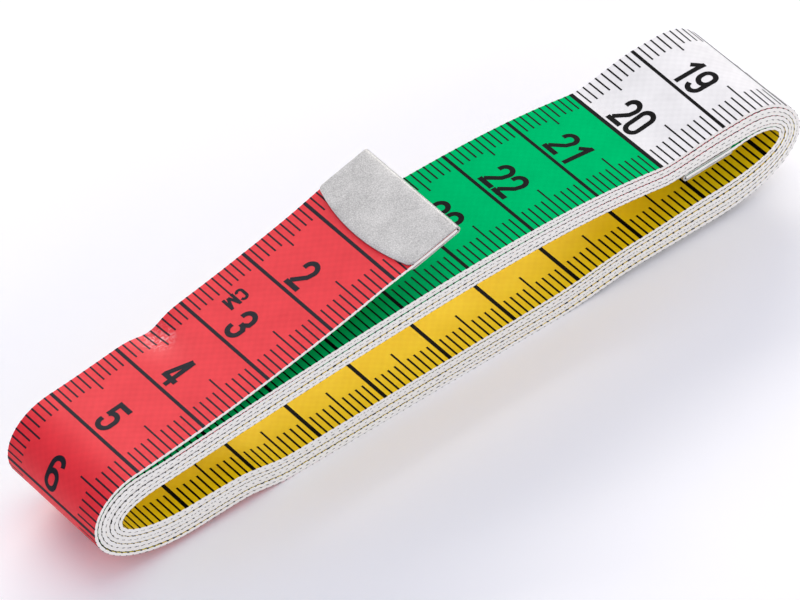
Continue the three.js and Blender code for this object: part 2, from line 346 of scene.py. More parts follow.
class WoundTape:
    """The tape's middle line in the XZ plane, by distance from its outer end, in millimetres."""

    def __init__(self, scene):
        for group in (scene.tape_cloth, scene.tape_loop, scene.tape_lead):
            vars(self).update(vars(sizes_of(group)))
        self.turns = scene.tape_loop.turns
        self.shrink = sizes_of(scene.tape_print).shrink
        self.half = self.thickness / 2
        self.half_width = self.width / 2
        line, _ = spaced(self.wind())
        line, self.along = spaced(softened(line))
        self.x, self.z = line.T
        self.angle = np.unwrap(np.arctan2(np.gradient(self.z), np.gradient(self.x)))
        self.length = self.along[-1]
        self.borders = self.scale_place(np.arange(ZONE_LENGTH, self.length, ZONE_LENGTH))
        self.swell_along, self.swell = self.edge_swell()

    def lead_line(self, x):
        """Height of the outer lead's middle line."""
        u = x - self.left_lead_x
        curved = np.minimum(u, self.straight_from)
        straight = u - curved
        return self.lead_height + self.start_slope * curved + self.bow * curved**2 + self.end_slope * straight

    def low_line(self, x, turn):
        """Height of a turn's bottom run, which lies on the table between its two feet."""
        ramp_end = self.foot_left - LEFT_RAMP
        left = ease(x, self.foot_left, ramp_end) - SAG_SHARE * ease(x, ramp_end, ramp_end - LEFT_SAG)
        right = ease(x, self.foot_right, self.foot_right + RIGHT_RAMP)
        spread = ease(x, self.foot_left, self.left_low_x) + ease(x, *LOW_SPREAD_X)
        pitch = self.low_pitch + (self.low_end_pitch - self.low_pitch) * spread
        return self.half + self.lift * (left + right) + turn * pitch

    def top_line(self, x, turn):
        """Height of a turn's top run: up to the crown, down to the crease, up to the shoulder."""
        rising = np.clip((x - self.left_top_x) / (self.crown_x - self.left_top_x), 0, 1)
        falling = np.clip((x - self.crown_x) / (self.crease_x - self.crown_x), 0, 1)
        level = self.left_top + (self.crown - self.left_top) * (1 - (1 - rising) ** CROWN_POWER)
        level = level - (self.crown - self.crease) * falling**CREASE_POWER
        level = level + (self.shoulder - self.crease) * ease(x, self.crease_x, self.shoulder_x)
        pitch = self.top_pitch + (self.top_right_pitch - self.top_pitch) * ease(x, *TOP_SPREAD_X)
        return level - self.half - turn * pitch

    def left_start(self, turn):
        """Where a turn's top run meets the left bend: the outer turns reach further."""
        return self.left_top_x - self.left_fan * (self.turns - 2 - turn) / (self.turns - 2)

    def inner_line(self, x):
        """Height of the inner lead's middle line."""
        climb = self.inner_rise * ease(x, self.inner_bend_x - INNER_CLIMB, self.inner_bend_x)
        return self.inner_height + self.inner_slope * (x - self.inner_end_x) + climb

    def wind(self):
        """Points of the whole middle line, outer end first."""
        pieces = []

        def run(x_from, x_to, height):
            x = np.linspace(x_from, x_to, max(2, int(abs(x_to - x_from) / LINE_STEP)))
            pieces.append(np.column_stack((x, height(x))))

        def quarter(centre_x, reach_x, height, angle_from, angle_to):
            angle = np.linspace(angle_from, angle_to, BEND_POINTS)
            x = centre_x + (reach_x - centre_x) * np.cos(angle)
            z = self.middle_height + (height(centre_x) - self.middle_height) * np.sin(angle)
            pieces.append(np.column_stack((x, z)))

        start, upper = self.left_lead_x, self.lead_line
        run(self.outer_end_x, start, upper)
        for turn in range(self.turns):
            left = self.left_end + self.half + turn * self.left_pitch
            right = self.right_end - self.half - turn * self.right_pitch
            lower = partial(self.low_line, turn=turn)
            quarter(start, left, upper, math.pi / 2, 0)
            quarter(self.left_low_x, left, lower, 0, math.pi / 2)
            run(self.left_low_x, self.right_low_x, lower)
            quarter(self.right_low_x, right, lower, math.pi / 2, 0)
            if turn == self.turns - 1:
                bend_x, start, upper = self.inner_bend_x, self.inner_end_x, self.inner_line
            else:
                bend_x, start = self.right_top_x, self.left_start(turn)
                upper = partial(self.top_line, turn=turn)
            quarter(bend_x, right, upper, 0, math.pi / 2)
            run(bend_x, start, upper)
        return np.concatenate(pieces)

    def edge_swell(self):
        """How far the cut edges swell into the gap to the nearest turn, at some points of the line."""
        tree = kdtree.KDTree(len(self.x))
        for i, (x, z) in enumerate(zip(self.x, self.z)):
            tree.insert((x, 0.0, z), i)
        tree.balance()
        apart = TURN_APART / LINE_STEP
        gaps = []
        for i in range(0, len(self.x), SWELL_EVERY):
            found = tree.find((self.x[i], 0.0, self.z[i]), filter=lambda k, i=i: abs(k - i) > apart)
            gaps.append(found[2] / 2 - self.half - SWELL_ROOM)
        return self.along[::SWELL_EVERY], np.clip(gaps, 0.0, self.bead)

    def swollen(self, s, y, h):
        """Height off the middle line, with cut edges swollen on the faces that another turn covers."""
        faces = (FRONT_COVERED, BACK_COVERED)
        covered = [ease(s, *start) * ease(self.length - s, *end) for start, end in faces]
        by_edge = np.clip((np.abs(y) / self.half_width - EDGE_SHARE) / (1 - EDGE_SHARE), 0.0, 1.0)
        swell = np.interp(s, self.swell_along, self.swell) * by_edge * np.where(h > 0, *covered)
        return h * (1 + swell / self.half)

    def kink(self, s, y):
        """How far the lead's far edge dips at its kink."""
        near_kink = np.exp(-(((s - self.kink_place) / KINK_LENGTH) ** 2))
        return self.kink_depth * near_kink * ease(y / self.half_width, KINK_FROM, 1.0)

    def twist(self, s, y):
        """How far the outer end is turned up at y, so that its far edge stands higher than its near one."""
        return self.end_twist * y / self.half_width * ease(s, *TWIST_ALONG)

    def right_lean(self, x, y, z):
        """How far the far edge of the upper turns stands up over the right bend."""
        across = 0.5 + 0.5 * y / self.half_width
        return self.lean * across * ease(x, *LEAN_X) * ease(z, *LEAN_Z)

    def place(self, s, y, h):
        """Points in metres at distance s, y across the tape and h off its middle towards the front face."""
        s, y, h = np.broadcast_arrays(np.asarray(s, float), np.asarray(y, float), np.asarray(h, float))
        angle = np.interp(s, self.along, self.angle)
        off = self.swollen(s, y, h) - self.kink(s, y) + self.twist(s, y)
        x = np.interp(s, self.along, self.x) + np.sin(angle) * off
        z = np.interp(s, self.along, self.z) - np.cos(angle) * off
        z = z + self.right_lean(x, y, z)
        waves = np.sin(s / LONG_WAVE) + SHORT_WAVE_SHARE * np.sin(s / SHORT_WAVE + 1.0)
        stray = self.wander * waves * ease(s, *WANDER_ALONG)
        return np.stack((x, y + stray, z), axis=-1) * MM

    def scale_place(self, mark):
        """Where a mark of the front scale lies on the tape."""
        return mark - self.shrink * ease(mark, *SHRINK_MARKS)

    def stations(self, s_from, s_to):
        """Distances at which the tape gets a cross-section: closer together where it turns or can bend."""
        inside = (self.along >= s_from) & (self.along <= s_to)
        s = np.concatenate(([s_from], self.along[inside], [s_to]))
        turning = np.abs(np.diff(np.interp(s, self.along, self.angle)))
        free = (s[1:] < SEAM_ROOT) | (s[1:] > self.length - INNER_SEAM_BACK)
        steps = np.maximum(np.diff(s) / np.where(free, FREE_STEP, WOUND_STEP), turning / TURN_STEP)
        effort = np.concatenate(([0], np.cumsum(steps)))
        even = np.interp(np.linspace(0, effort[-1], int(effort[-1]) + 2), effort, s)
        borders = self.borders[(self.borders > s_from) & (self.borders < s_to)]
        clear = np.all(np.abs(even[:, None] - borders) > BORDER_ROOM, axis=1)
        return np.unique(np.concatenate((even[clear], borders)))


# Sizes of the patterns in the materials
# Clouds that vary the vinyl's tone, their lightest parts paled by painted sheen
TONE_AND_SHEEN_CLOUD = 4.0
WORN_SPOT = 0.9
NICKEL_CLOUD = 3.0
# Real fibre ends are about 0.01 mm and real blasting grain 0.05 mm, drawn coarser so that they show
FIBRE_END = 0.25
BLAST_GRAIN = 0.16

# Crazed patch by the kink: its place across the tape, half its width, and its streaks in a millimetre
CRAZED_ACROSS = 7.6
CRAZED_HALF_WIDTH = 3.4
CRAZED_STREAKS = 0.9

# Length of one wave of the wave texture at a scale of 1
WAVE_LENGTH = math.pi / 10


def node(tree, kind, options=None, sockets=None):
    """Adds a shader node, sets its options, and fills or links its sockets (a node by its first output)."""
    made = tree.nodes.new("ShaderNode" + kind)
    for name, value in (options or {}).items():
        setattr(made, name, value)
    for name, value in (sockets or {}).items():
        if isinstance(value, bpy.types.Node):
            value = value.outputs[0]
        if isinstance(value, bpy.types.NodeSocket):
            tree.links.new(value, made.inputs[name])
        else:
            made.inputs[name].default_value = value
    return made


def start_material(name):
    """A node material with no nodes yet, and its tree."""
    material = bpy.data.materials.new(name)
    material.use_nodes = True
    material.node_tree.nodes.clear()
    return material, material.node_tree


def finish_material(material, sockets):
    """Gives a material its surface, whose sockets are filled or linked."""
    surface = node(material.node_tree, "BsdfPrincipled", sockets=sockets)
    node(material.node_tree, "OutputMaterial", sockets={"Surface": surface})
    return material


def ready_material(name, make, *settings):
    """The material of that name, made when it is first asked for."""
    return bpy.data.materials.get(name) or make(name, *settings)


def shade(colour, factor, painted_sheen=0.0):
    """A colour made lighter or darker, and paler by some added white, which is painted sheen."""
    return tuple(min(1.0, c * factor + painted_sheen) for c in colour[:3]) + (1.0,)


def mottle(tree, pattern, colour, dark, light, painted_sheen=0.0):
    """A colour that a pattern takes from darker to lighter, with added white where it is lightest, which is
    painted sheen.
    """
    ends = {0: pattern, 6: shade(colour, dark), 7: shade(colour, light, painted_sheen)}
    return node(tree, "Mix", {"data_type": "RGBA"}, ends).outputs[2]


def weave_height(tree, flat, thread):
    """Over-and-under height of a plain weave, from the tape's flat coordinates in millimetres."""
    bands = []
    for direction in ("X", "Y"):
        wave = node(
            tree,
            "TexWave",
            {"bands_direction": direction},
            {"Vector": flat, "Scale": WAVE_LENGTH / (2 * thread), "Distortion": 0.25, "Detail": 1.0},
        )
        bands.append(node(tree, "Math", {"operation": "SUBTRACT"}, {0: wave.outputs["Fac"], 1: 0.5}))
    return node(tree, "Math", {"operation": "MULTIPLY"}, {0: bands[0], 1: bands[1]})


def craze(tree, flat, tone, kink_place, crazed):
    """Pale short streaks in a patch round the kink, where the bent coating has crazed."""
    centre = (CRAZED_ACROSS, kink_place, 0.0)
    offset = node(tree, "VectorMath", {"operation": "SUBTRACT"}, {0: flat, 1: centre})
    shrink = (1 / CRAZED_HALF_WIDTH, 1 / KINK_LENGTH, 0.0)
    shrunk = node(tree, "VectorMath", {"operation": "MULTIPLY"}, {0: offset, 1: shrink})
    away = node(tree, "VectorMath", {"operation": "LENGTH"}, {0: shrunk}).outputs["Value"]
    patch = node(tree, "MapRange", sockets={0: away, 1: 1.0, 2: 0.2, 3: 0.0, 4: 1.0})
    grain = {"Vector": flat, "Scale": CRAZED_STREAKS, "Detail": 5.0, "Distortion": 1.5}
    noise = node(tree, "TexNoise", sockets=grain)
    streaks = node(tree, "MapRange", sockets={0: noise, 1: 0.46, 2: 0.68, 3: 0.0, 4: 0.75})
    amount = node(tree, "Math", {"operation": "MULTIPLY"}, {0: patch, 1: streaks})
    return node(tree, "Mix", {"data_type": "RGBA"}, {0: amount, 6: tone, 7: crazed}).outputs[2]


def coated_cloth(name, colour, gloss, painted_sheen, crazed, cloth):
    """Calendered vinyl over woven glass fibre: satin, faintly quilted by threads, with darker and lighter
    clouds whose lightest parts get painted sheen.
    """
    material, tree = start_material(name)
    flat = node(tree, "Attribute", {"attribute_name": "flat"}).outputs["Vector"]
    weave = weave_height(tree, flat, cloth.thread / MM)
    grain = {"Vector": flat, "Scale": 1 / TONE_AND_SHEEN_CLOUD, "Detail": 4.0, "Roughness": 0.6}
    clouds = node(tree, "TexNoise", sockets=grain)
    threads = node(tree, "Math", {"operation": "MULTIPLY_ADD"}, {0: weave, 1: 0.36, 2: clouds})
    # Random tone from threads and clouds, with painted sheen added where the clouds are lightest
    tone = mottle(tree, threads, colour, 0.86, 1.12, painted_sheen)
    if crazed:
        tone = craze(tree, flat, tone, cloth.kink_place / MM, crazed)
    sockets = {
        "Base Color": tone,
        "Roughness": node(tree, "MapRange", sockets={0: threads, 1: 0.2, 2: 0.8, 3: 0.60, 4: 0.48}),
        "IOR": 1.5,
        "Specular IOR Level": gloss,
        "Normal": node(tree, "Bump", sockets={"Strength": 0.14, "Distance": 0.06 * MM, "Height": weave}),
    }
    return finish_material(material, sockets)


def cut_edge(name, colour):
    """White glass-fibre core cut with a slitter: dull, with fine fibre ends that leave grey specks."""
    material, tree = start_material(name)
    flat = node(tree, "Attribute", {"attribute_name": "flat"}).outputs["Vector"]
    fibres = node(tree, "TexNoise", sockets={"Vector": flat, "Scale": 1 / FIBRE_END, "Detail": 3.0})
    sockets = {
        "Base Color": mottle(tree, fibres, colour, 0.90, 1.05),
        "Roughness": 0.75,
        "IOR": 1.5,
        "Normal": node(tree, "Bump", sockets={"Strength": 0.3, "Distance": 0.04 * MM, "Height": fibres}),
    }
    return finish_material(material, sockets)


def printing_ink(name, colour, gloss, cloth):
    """Screen-printed black vinyl ink: satin, following the weave, greyer where it is thin on the threads."""
    material, tree = start_material(name)
    flat = node(tree, "Attribute", {"attribute_name": "flat"}).outputs["Vector"]
    weave = weave_height(tree, flat, cloth.thread / MM)
    worn = node(tree, "TexNoise", sockets={"Vector": flat, "Scale": 1 / WORN_SPOT, "Detail": 4.0})
    cover = node(tree, "Math", {"operation": "ADD"}, {0: weave, 1: worn})
    sockets = {
        "Base Color": mottle(tree, cover, colour, 0.8, 1.5),
        "Roughness": 0.55,
        "IOR": 1.5,
        "Specular IOR Level": gloss,
        "Normal": node(tree, "Bump", sockets={"Strength": 0.3, "Distance": 0.05 * MM, "Height": weave}),
    }
    return finish_material(material, sockets)


def satin_nickel(name, colour):
    """Nickel plate over steel sheet with a fine blasted grain: soft grey reflections and a quiet sparkle."""
    material, tree = start_material(name)
    place = node(tree, "TexCoord").outputs["Object"]
    grain, clouds = (
        node(tree, "TexNoise", sockets={"Vector": place, "Scale": 1 / (size * MM), "Detail": detail})
        for size, detail in ((BLAST_GRAIN, 2.0), (NICKEL_CLOUD, 3.0))
    )
    mixed = node(tree, "Math", {"operation": "MULTIPLY_ADD"}, {0: clouds, 1: 0.4, 2: grain})
    speckle = node(tree, "MapRange", sockets={0: mixed, 1: 0.48, 2: 0.92})
    sockets = {
        "Base Color": mottle(tree, speckle, colour, 0.7, 1.2),
        "Metallic": 1.0,
        "Roughness": node(tree, "MapRange", sockets={0: mixed, 1: 0.3, 2: 1.0, 3: 0.54, 4: 0.62}),
        "Normal": node(tree, "Bump", sockets={"Strength": 0.5, "Distance": 0.03 * MM, "Height": grain}),
    }
    return finish_material(material, sockets)


def pale_floor(name, colour):
    """Matt white paper sweep: even and dull, so only the shadow shows on it."""
    material, _ = start_material(name)
    return finish_material(material, {"Base Color": colour, "Roughness": 0.9, "Specular IOR Level": 0.1})


def tape_materials(scene):
    """The tape's materials by slot: four zone colours with gloss, painted sheen and crazing, then the cut
    edge.
    """
    colours = scene.tape_colours
    # Each coat: colour, gloss, painted sheen in the lightest clouds, crazed colour
    coats = {
        "calendered_red_vinyl": (colours.red, 0.38, 0.005, colours.crazed),
        "calendered_white_vinyl": (colours.white, 0.15, 0.0, None),
        "calendered_green_vinyl": (colours.green, 0.0, 0.0, None),
        "calendered_yellow_vinyl": (colours.yellow, 0.18, 0.004, None),
    }
    made = [ready_material(name, coated_cloth, *coat, scene.tape_cloth) for name, coat in coats.items()]
    return [*made, ready_material("slit_white_core", cut_edge, colours.edge)]


# Distance in the patterns between the tape's front and back, so that the two don't match
FACE_SHIFT = 40.0

# Places of the tape's points across its half width: closer by the edges and by the kink
COLUMNS = (-1.0, -EDGE_SHARE, -0.7, -0.35, 0.0, 0.35, 0.6, 0.8, EDGE_SHARE, 1.0)


def flat_places(s, y, h):
    """Coordinates of the tape laid flat, for its patterns."""
    return np.column_stack((y, s, np.sign(h) * FACE_SHIFT))


def grid_faces(rows, columns, first=0):
    """Four-sided faces through rows of points."""
    corners = [first + i * columns + j for i in range(rows - 1) for j in range(columns - 1)]
    return [(a, a + 1, a + columns + 1, a + columns) for a in corners]


def make_piece(name, points, faces, materials, slots=None, flat=None, crisp=30.0):
    """Makes a mesh object at the origin, with smooth faces and crisp corners."""
    mesh = bpy.data.meshes.new(name)
    mesh.from_pydata([tuple(p) for p in points], [], faces)
    for material in materials:
        mesh.materials.append(material)
    if slots is not None:
        mesh.polygons.foreach_set("material_index", np.asarray(slots, np.int32))
    mesh.polygons.foreach_set("use_smooth", np.ones(len(mesh.polygons), bool))
    mesh.set_sharp_from_angle(angle=math.radians(crisp))
    if flat is not None:
        attribute = mesh.attributes.new("flat", "FLOAT_VECTOR", "POINT")
        attribute.data.foreach_set("vector", np.asarray(flat, np.float32).ravel())
    mesh.update()
    piece = bpy.data.objects.new(name, mesh)
    bpy.context.scene.collection.objects.link(piece)
    return piece


def lay_strip(tape, scene, name, span):
    """One closed stretch of tape: coloured front, yellow back and white cut edges."""
    stations = tape.stations(*span)
    zones = np.searchsorted(tape.borders, (stations[:-1] + stations[1:]) / 2) % ZONES
    across = np.array(COLUMNS) * tape.half_width
    last = len(across) - 1
    size = 2 * len(across)
    s = np.repeat(stations, size)
    y = np.tile([*across, *across[::-1]], len(stations))
    h = np.tile(np.repeat((tape.half, -tape.half), len(across)), len(stations))
    faces, slots = [], []
    for first, zone in zip(range(0, len(s), size), zones):
        ring = range(first, first + size)
        faces += [(a, b, b + size, a + size) for a, b in zip(ring, (*ring[1:], first))]
        slots += [zone] * last + [EDGE_SLOT] + [YELLOW_SLOT] * last + [EDGE_SLOT]
    faces += [tuple(range(size))[::-1], tuple(range(len(s) - size, len(s)))]
    slots += [EDGE_SLOT, EDGE_SLOT]
    return make_piece(name, tape.place(s, y, h), faces, tape_materials(scene), slots, flat_places(s, y, h))


# Ink: how far it stands off the tape, and each stroke off the one before
INK_LIFT = 0.015
STROKE_LIFT = 0.002

# Points across a line and across a tick, and degrees between the points of an arc
LINE_POINTS = 8
TICK_POINTS = 3
ARC_STEP = 12

# Longest step along a stroke, and most that a corner of it may widen it
STROKE_STEP = 0.6
MITRE_LIMIT = 1.4

# First marks past the tip, and the unit mark: its place on the scale, its place across and its stroke
FIRST_TICK = 7
FIRST_NUMERAL = 2
UNIT_PLACE = 23.5
UNIT_ACROSS = 5.0
UNIT_STROKE = 0.42


def arc(cx, cy, rx, ry, degrees_from, degrees_to):
    """Points along an elliptic arc."""
    count = max(3, int(abs(degrees_to - degrees_from) / ARC_STEP) + 1)
    angle = np.radians(np.linspace(degrees_from, degrees_to, count))
    return [(cx + rx * math.cos(a), cy + ry * math.sin(a)) for a in angle]


def numeral_strokes(height, width, stroke):
    """Centre lines of the ten numerals, upright on a base line at 0."""
    wide = width / 2
    x = wide - stroke / 2
    low, top = stroke / 2, height - stroke / 2
    base, cap, mid = low + x, top - x, height / 2
    bowl = height * 0.36
    stem = x * 0.45
    post = [(stem, 0), (stem, height)]
    loop = [(x, base), *arc(0, cap, x, x, 0, 180), *arc(0, base, x, x, 180, 360)]
    six = [*arc(0, cap, x, x, 8, 180), *arc(0, base, x, x, 180, 360), *arc(0, bowl, x, x, 0, 172)]
    nine = [(-px, height - py) for px, py in six]
    two = [(-x, cap - 0.3), *arc(0, cap, x, x, 180, -12), (x * 0.72, mid), (-x * 0.9, low + 0.35)]
    upper = [(-x, cap - 0.25), *arc(0, cap, x, x, 180, 0), (x, mid + 0.55), (x * 0.35, mid + 0.05)]
    lower = [(x * 0.35, mid + 0.05), (x, mid - 0.5), *arc(0, base, x, x, 0, -180), (-x, base + 0.3)]
    five = [*arc(0, mid * 0.84, x, x, 155, 0), *arc(0, base, x, x, 0, -180), (-x, base + 0.25)]
    return {
        "0": [loop],
        "1": [post, [(-x * 0.75, cap - 0.15), (stem, top + 0.05)]],
        "2": [two, [(-wide, low), (wide, low)]],
        "3": [upper, lower, [(-x * 0.15, mid), (x * 0.5, mid)]],
        "4": [
            [(stem - stroke * 0.2, height), (-x, height * 0.28)],
            [(-wide, height * 0.24), (wide, height * 0.24)],
            post,
        ],
        "5": [[(-x - stroke * 0.4, top), (x + stroke * 0.3, top)], [(-x, height), (-x, mid * 0.98)], five],
        "6": [six],
        "7": [[(-wide, top), (wide, top)], [(x * 0.9, top), (-x * 0.3, 0)]],
        "8": [arc(0, cap, x * 0.94, x, 0, 360), arc(0, bowl * 0.82, x, low + x * 0.68, 0, 360)],
        "9": [nine],
    }


def unit_strokes():
    """Centre lines of the unit mark's two letters."""
    left, right, height, shoulder = 1.45, 2.75, 2.2, 2.15
    valley = ((left + right) / 2, 0.2)
    return [
        [*arc(0.55, 1.55, 0.42, 0.44, 10, 180), *arc(0.55, 0.65, 0.42, 0.44, 180, 350)],
        [(left, 0), (left, height)],
        [(left, shoulder), valley],
        [valley, (right, shoulder)],
        [(right, 0), (right, height)],
    ]


def ribbon(points, width):
    """Left, middle and right rows of a stroke of even width along a line, which may be a closed ring."""
    line, along = measured(np.array(points, float))
    closed = math.dist(line[0], line[-1]) < SAME_POINT
    fine = [0]
    for start, end in zip(along[:-1], along[1:]):
        fine.extend(np.linspace(start, end, math.ceil((end - start) / STROKE_STEP) + 1)[1:])
    line = points_at(fine, line, along)
    steps = np.diff(line, axis=0)
    steps /= np.hypot(*steps.T)[:, None]
    before = np.vstack((steps[-1] if closed else steps[0], steps))
    after = np.vstack((steps, steps[0] if closed else steps[-1]))
    mean = before + after
    mean /= np.hypot(*mean.T)[:, None]
    mitre = 1 / np.maximum(1 / MITRE_LIMIT, np.sum(mean * after, axis=1))
    side = np.column_stack((-mean[:, 1], mean[:, 0])) * (mitre * width / 2)[:, None]
    return np.array((line + side, line, line - side))


class PrintedScale:
    """Gathers the ink of one stretch of tape as thin faces just off its surface."""

    def __init__(self, tape, span):
        self.tape, self.span = tape, span
        self.points, self.flat, self.faces = [], [], []
        self.count = 0

    def holds(self, s):
        """Whether a mark at s lies on this stretch."""
        return self.span[0] <= s < self.span[1]

    def grid(self, s, y, h):
        """Adds faces through rows of points, given by s, y and h."""
        arrays = np.broadcast_arrays(s, y, h)
        rows, columns = arrays[0].shape
        s, y, h = (a.ravel() for a in arrays)
        self.points.append(self.tape.place(s, y, h))
        self.flat.append(flat_places(s, y, h))
        self.faces += grid_faces(rows, columns, self.count)
        self.count += rows * columns

    def bar(self, s, width, y_from, y_to, side):
        """A line or tick across the tape."""
        is_line = y_to - y_from > self.tape.half_width
        y = np.linspace(y_from, y_to, LINE_POINTS if is_line else TICK_POINTS)
        self.grid([[s - width / 2], [s + width / 2]], y, side * (self.tape.half + INK_LIFT))

    def bleed(self, s, width, edge, depth, side):
        """Ink that ran over the cut edge at the end of a line or tick."""
        y = edge * (self.tape.half_width + INK_LIFT)
        h = side * np.array((self.tape.half + INK_LIFT, self.tape.half - depth))
        self.grid([[s - width / 2], [s + width / 2]], y, h)

    def strokes(self, lines, width, origin, x_way, up_way, side):
        """Strokes of a letter or numeral from an origin, each a hair above the one before."""
        for order, line in enumerate(lines):
            places = np.array(origin) + ribbon(line, width) @ np.array((x_way, up_way))
            h = side * (self.tape.half + INK_LIFT + STROKE_LIFT * order)
            self.grid(places[..., 0], places[..., 1], h)


def print_stretch(tape, scene, name, span, handled):
    """Prints the front scale, counted from the outer end, and the back scale, counted from the inner end."""
    sizes = sizes_of(scene.tape_print)
    numerals = numeral_strokes(sizes.digit_height, sizes.digit_width, sizes.stroke)
    ink = PrintedScale(tape, span)
    edge = tape.half_width
    total = int(tape.length)

    def place_of(mark, side):
        return tape.scale_place(mark) if side > 0 else tape.length + sizes.back_start - mark

    for side in (1, -1):
        line, tick = (sizes.line, sizes.tick) if side > 0 else (sizes.back_line, sizes.back_tick)
        for mark in range(FIRST_TICK, total - FIRST_TICK + 1):
            s = place_of(mark, side)
            if not ink.holds(s):
                continue
            if mark % 10 == 0:
                width = line
                is_border = side > 0 and mark % ZONE_LENGTH == 0
                ink.bar(s, sizes.border if is_border else line, -edge, edge, side)
            else:
                width = tick
                is_half = mark % 5 == 0
                ink.bar(s, tick, -edge, -edge + (sizes.near_half if is_half else sizes.near_tick), side)
                ink.bar(s, tick, edge - (sizes.far_half if is_half else sizes.far_tick), edge, side)
            for end in (-1, 1):
                ink.bleed(s, width, end, sizes.bleed, side)
        for number in range(FIRST_NUMERAL, total // 10):
            s = place_of(10 * number, side)
            if not ink.holds(s):
                continue
            digits = str(number)
            foot = s - side * sizes.rise
            for index, digit in enumerate(digits):
                middle = sizes.offset - (index - (len(digits) - 1) / 2) * sizes.digit_pitch
                ink.strokes(numerals[digit], sizes.stroke, (foot, middle), (0, -1), (-side, 0), side)
        unit_s = place_of(UNIT_PLACE, side)
        if ink.holds(unit_s):
            origin = (unit_s, sizes.offset + UNIT_ACROSS)
            ink.strokes(unit_strokes(), UNIT_STROKE, origin, (side, 0), (0, -1), side)
    inks = scene.tape_colours
    # On the outer lead the ink is greyer and bluer: painted sheen from the light on the lead
    if handled:
        name_of_ink, colour, gloss = "rubbed_screen_print", inks.handled_ink, 0.15
    else:
        name_of_ink, colour, gloss = "black_screen_print", inks.ink, 0.04
    material = ready_material(name_of_ink, printing_ink, colour, gloss, scene.tape_cloth)
    return make_piece(name, np.concatenate(ink.points), ink.faces, [material], flat=np.concatenate(ink.flat))


# Where the free ends start and stop bending: along the tape, or as X and Z from the start of the outer lead
END_BEND = (21.5, 11.5)
MID_BEND = (36.5, 26.5)
ROOT_BEND = ((-1.75, -0.1), (4.15, 5.8))
# Where the inner end starts bending, as X and as Z below its height, and the way from there to the bend's end
INNER_BEND_X = 50.6
INNER_BEND_DROP = 0.04
INNER_BEND_WAY = (-0.78, 1.56)


def dress(tape, scene, name, span, cad_node, slot, bend=None, body=None):
    """Lays one stretch of tape with its print, and hangs both on their body, or fixes both where they lie
    when they cross a joint.
    """
    strip = lay_strip(tape, scene, name, span)
    ink = print_stretch(tape, scene, name + "_print", span, handled=slot == "tape_lead")
    for piece in (strip, ink):
        if bend:
            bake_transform(piece)
        else:
            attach(piece, body)
    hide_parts(cad_node)


def metres(x, z):
    """A point in the tape's middle plane, from millimetres."""
    return (x * MM, 0.0, z * MM)


class TAPE_OT_winding(bpy.types.Operator):
    """Winds the closed turns of the tape with their printed scales"""

    bl_idname = "tape.winding"
    bl_label = "Winding"

    def execute(self, context):
        scene = context.scene
        tape = WoundTape(scene)
        span = (SEAM_ROOT, tape.length - INNER_SEAM_BACK)
        dress(tape, scene, "tape_winding", span, "tape_coil", "tape_winding", body="coil")
        return {"FINISHED"}


class TAPE_OT_outer_lead(bpy.types.Operator):
    """Lays the outer free end of the tape in three stretches, each across one hinge"""

    bl_idname = "tape.outer_lead"
    bl_label = "Outer lead"

    def execute(self, context):
        scene = context.scene
        tape = WoundTape(scene)
        mid_bend, end_bend = (
            [metres(np.interp(s, tape.along, tape.x), np.interp(s, tape.along, tape.z)) for s in bend]
            for bend in (MID_BEND, END_BEND)
        )
        root_bend = [metres(tape.left_lead_x + x, tape.lead_height + z) for x, z in ROOT_BEND]
        stretches = (
            ("root", (SEAM_MID, SEAM_ROOT), ("coil", "lead_root", *root_bend)),
            ("mid", (SEAM_END, SEAM_MID), ("lead_root", "lead_mid", *mid_bend)),
            ("end", (0.0, SEAM_END), ("lead_mid", "lead_end", *end_bend)),
        )
        for part, span, bend in stretches:
            name, cad_node = "tape_outer_lead_" + part, "tape_lead_" + part
            dress(tape, scene, name, span, cad_node, "tape_lead", bend=bend)
        return {"FINISHED"}


class TAPE_OT_inner_lead(bpy.types.Operator):
    """Lays the inner free end of the tape, across its hinge"""

    bl_idname = "tape.inner_lead"
    bl_label = "Inner lead"

    def execute(self, context):
        scene = context.scene
        tape = WoundTape(scene)
        span = (tape.length - INNER_SEAM_BACK, tape.length)
        start = np.array((INNER_BEND_X, tape.inner_height - INNER_BEND_DROP))
        bend = ("coil", "inner_end", metres(*start), metres(*(start + INNER_BEND_WAY)))
        name, cad_node = "tape_inner_lead_cloth", "tape_inner_lead"
        dress(tape, scene, name, span, cad_node, "tape_winding", bend=bend)
        return {"FINISHED"}


# Folded tips: points across, rows along, where the tape's direction is taken, and the roundness of cut edges
TIP_COLUMNS = 45
TIP_ROWS = 31
TIP_AIM = 0.5
TIP_EDGE_ROUNDING = 0.08


